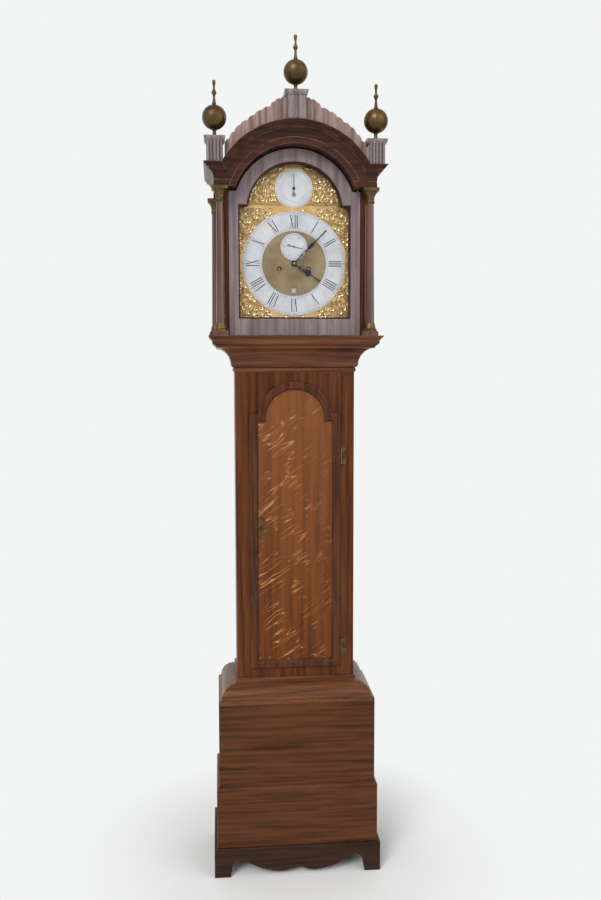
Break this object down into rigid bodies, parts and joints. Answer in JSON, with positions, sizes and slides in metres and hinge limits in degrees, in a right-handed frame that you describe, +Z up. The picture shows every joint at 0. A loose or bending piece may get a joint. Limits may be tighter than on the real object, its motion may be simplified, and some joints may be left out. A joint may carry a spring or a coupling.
{
  "type": "longcase clock",
  "caption": "Tall oak longcase clock with arched dial, sliding columned hood, arched trunk door, bracket-foot base, ball finials and an eight-day striking movement.",
  "frame": {"origin": "on the floor under the middle of the clock's widest outline", "axes": "+Z up, the dial and doors face -Y, +X to the viewer's right"},
  "size_m": [0.4879, 0.2554, 2.272],
  "materials": {
    "dark_oak": "polished",
    "oak": "polished",
    "figured_oak": "polished",
    "brass": "satin",
    "bronze": "aged",
    "matt_brass": "matt",
    "gilt": "gilt",
    "silvered": "silvered",
    "blued_steel": "blued",
    "steel": "filed",
    "glass": "clear"
  },
  "bodies": {
    "case": {"backboard": "dark_oak", "trunk_sides": "dark_oak", "trunk_front": "oak", "waist_moulding": "dark_oak", "throat_mouldings": "dark_oak", "base_boards": "dark_oak", "base_skirting": "dark_oak", "bracket_feet": "dark_oak", "seatboard": "dark_oak", "trunk_frame_hinges": "brass", "dial_plate": "matt_brass", "silvered_rings": "silvered", "spandrels": "gilt", "front_plate": "brass", "back_plate": "brass", "back_cock": "brass", "bell": "bronze"},
    "trunk_door": {"trunk_door": "figured_oak", "trunk_door_bead": "oak", "trunk_door_hinges": "brass", "trunk_door_lock": "steel", "escutcheon": "brass"},
    "lock_bolt": {"trunk_lock_bolt": "steel"},
    "hood": {"hood_base": "dark_oak", "hood_sides": "dark_oak", "hood_mask": "dark_oak", "hood_frieze": "dark_oak", "hood_cornice": "dark_oak", "hood_roof": "dark_oak", "finial_plinths": "dark_oak", "cresting_board": "dark_oak", "finials": "bronze", "hood_columns": "dark_oak", "column_brasses": "brass"},
    "hood_door": {"hood_door": "dark_oak", "hood_glass": "glass", "hood_door_pivots": "brass"},
    "minute_hand": {"cannon_wheel": "brass", "minute_hand": "blued_steel"},
    "minute_wheel": {"minute_wheel": "brass"},
    "hour_hand": {"hour_wheel": "brass", "hour_hand": "blued_steel"},
    "date_ring": {"date_ring": "silvered"},
    "strike_silent_hand": {"strike_silent_hand": "blued_steel"},
    "escape_wheel": {"escape_wheel": "brass", "seconds_hand": "blued_steel"},
    "third_wheel": {"third_wheel": "brass"},
    "centre_wheel": {"centre_wheel": "brass"},
    "going_great_wheel": {"going_great_wheel": "brass"},
    "pendulum": {"pendulum": "brass"},
    "anchor": {"anchor": "steel"},
    "going_weight": {"going_weight": "brass"},
    "going_barrel": {"going_barrel": "brass"},
    "strike_weight": {"strike_weight": "brass"},
    "strike_barrel": {"strike_barrel": "brass"},
    "fly": {"fly": "brass"},
    "gathering_wheel": {"gathering_wheel": "brass"},
    "pin_wheel": {"pin_wheel": "brass"},
    "strike_great_wheel": {"strike_great_wheel": "brass"},
    "hammer": {"hammer": "steel"}
  },
  "joints": [
    {"name": "trunk_door_hinge", "type": "hinge", "parent": "case", "child": "trunk_door", "pos_m": [0.1281, -0.05125, 0.9], "axis": [0, 0, 1], "range_deg": [0, 105]},
    {"name": "lock_bolt_slide", "type": "slide", "parent": "trunk_door", "child": "lock_bolt", "axis": [-1, 0, 0], "range_m": [0, 0.012]},
    {"name": "hood_slide", "type": "slide", "parent": "case", "child": "hood", "axis": [0, -1, 0], "range_m": [0, 0.24]},
    {"name": "hood_door_hinge", "type": "hinge", "parent": "hood", "child": "hood_door", "pos_m": [0.17, -0.05925, 1.7], "axis": [0, 0, 1], "range_deg": [0, 24]},
    {"name": "minute_hand_turn", "type": "hinge", "parent": "case", "child": "minute_hand", "pos_m": [0, -0.02925, 1.694], "axis": [0, -1, 0], "continuous": true},
    {"name": "minute_wheel_turn", "type": "hinge", "parent": "case", "child": "minute_wheel", "pos_m": [0.01094, 0.00025, 1.66393], "axis": [0, -1, 0], "continuous": true},
    {"name": "hour_hand_turn", "type": "hinge", "parent": "case", "child": "hour_hand", "pos_m": [0, -0.02925, 1.694], "axis": [0, -1, 0], "continuous": true},
    {"name": "date_ring_turn", "type": "hinge", "parent": "case", "child": "date_ring", "pos_m": [0, -0.02925, 1.694], "axis": [0, -1, 0], "continuous": true},
    {"name": "strike_silent_turn", "type": "hinge", "parent": "case", "child": "strike_silent_hand", "pos_m": [0, -0.02925, 1.894], "axis": [0, -1, 0], "range_deg": [-90, 90]},
    {"name": "escape_wheel_turn", "type": "hinge", "parent": "case", "child": "escape_wheel", "pos_m": [0, 0.00025, 1.739], "axis": [0, -1, 0], "continuous": true},
    {"name": "third_wheel_turn", "type": "hinge", "parent": "case", "child": "third_wheel", "pos_m": [0.00766, 0.00025, 1.71832], "axis": [0, -1, 0], "continuous": true},
    {"name": "centre_wheel_turn", "type": "hinge", "parent": "case", "child": "centre_wheel", "pos_m": [0, 0.00025, 1.694], "axis": [0, -1, 0], "continuous": true},
    {"name": "going_great_wheel_turn", "type": "hinge", "parent": "case", "child": "going_great_wheel", "pos_m": [0.04, 0.00025, 1.6804], "axis": [0, -1, 0], "continuous": true},
    {"name": "pendulum_swing", "type": "hinge", "parent": "case", "child": "pendulum", "pos_m": [0, 0.07725, 1.766], "axis": [0, -1, 0], "range_deg": [-3, 3]},
    {"name": "anchor_rock", "type": "hinge", "parent": "case", "child": "anchor", "pos_m": [0, 0.00025, 1.766], "axis": [0, -1, 0], "range_deg": [-3, 3]},
    {"name": "going_weight_travel", "type": "slide", "parent": "case", "child": "going_weight", "axis": [0, 0, 1], "range_m": [-0.95, 0.27]},
    {"name": "going_barrel_wind", "type": "hinge", "parent": "case", "child": "going_barrel", "pos_m": [0.04, 0.00025, 1.6804], "axis": [0, -1, 0], "range_deg": [-1260, 4300]},
    {"name": "strike_weight_travel", "type": "slide", "parent": "case", "child": "strike_weight", "axis": [0, 0, 1], "range_m": [-0.95, 0.27]},
    {"name": "strike_barrel_wind", "type": "hinge", "parent": "case", "child": "strike_barrel", "pos_m": [-0.04, 0.00025, 1.6804], "axis": [0, -1, 0], "range_deg": [-1260, 4300]},
    {"name": "fly_turn", "type": "hinge", "parent": "case", "child": "fly", "pos_m": [-0.02727, 0.00025, 1.75387], "axis": [0, -1, 0], "continuous": true},
    {"name": "gathering_wheel_turn", "type": "hinge", "parent": "case", "child": "gathering_wheel", "pos_m": [-0.02727, 0.00025, 1.73534], "axis": [0, -1, 0], "continuous": true},
    {"name": "pin_wheel_turn", "type": "hinge", "parent": "case", "child": "pin_wheel", "pos_m": [-0.0311, 0.00025, 1.71363], "axis": [0, -1, 0], "continuous": true},
    {"name": "strike_great_wheel_turn", "type": "hinge", "parent": "case", "child": "strike_great_wheel", "pos_m": [-0.04, 0.00025, 1.6804], "axis": [0, -1, 0], "continuous": true},
    {"name": "hammer_lift", "type": "hinge", "parent": "case", "child": "hammer", "pos_m": [-0.063, 0.00025, 1.708], "axis": [0, -1, 0], "range_deg": [0, 5]}
  ],
  "couplings": [
    {"joint": "minute_wheel_turn", "follows": "minute_hand_turn", "ratio": -1},
    {"joint": "hour_hand_turn", "follows": "minute_hand_turn", "ratio": 0.083333},
    {"joint": "third_wheel_turn", "follows": "escape_wheel_turn", "ratio": -0.125},
    {"joint": "centre_wheel_turn", "follows": "escape_wheel_turn", "ratio": 0.016667},
    {"joint": "going_great_wheel_turn", "follows": "escape_wheel_turn", "ratio": -0.0013889},
    {"joint": "anchor_rock", "follows": "pendulum_swing", "ratio": 1},
    {"joint": "going_barrel_wind", "follows": "going_weight_travel", "rad_per_m": -77.821},
    {"joint": "strike_barrel_wind", "follows": "strike_weight_travel", "rad_per_m": -77.821},
    {"joint": "gathering_wheel_turn", "follows": "fly_turn", "ratio": -0.14},
    {"joint": "pin_wheel_turn", "follows": "fly_turn", "ratio": 0.0175},
    {"joint": "strike_great_wheel_turn", "follows": "fly_turn", "ratio": -0.0017949}
  ]
}
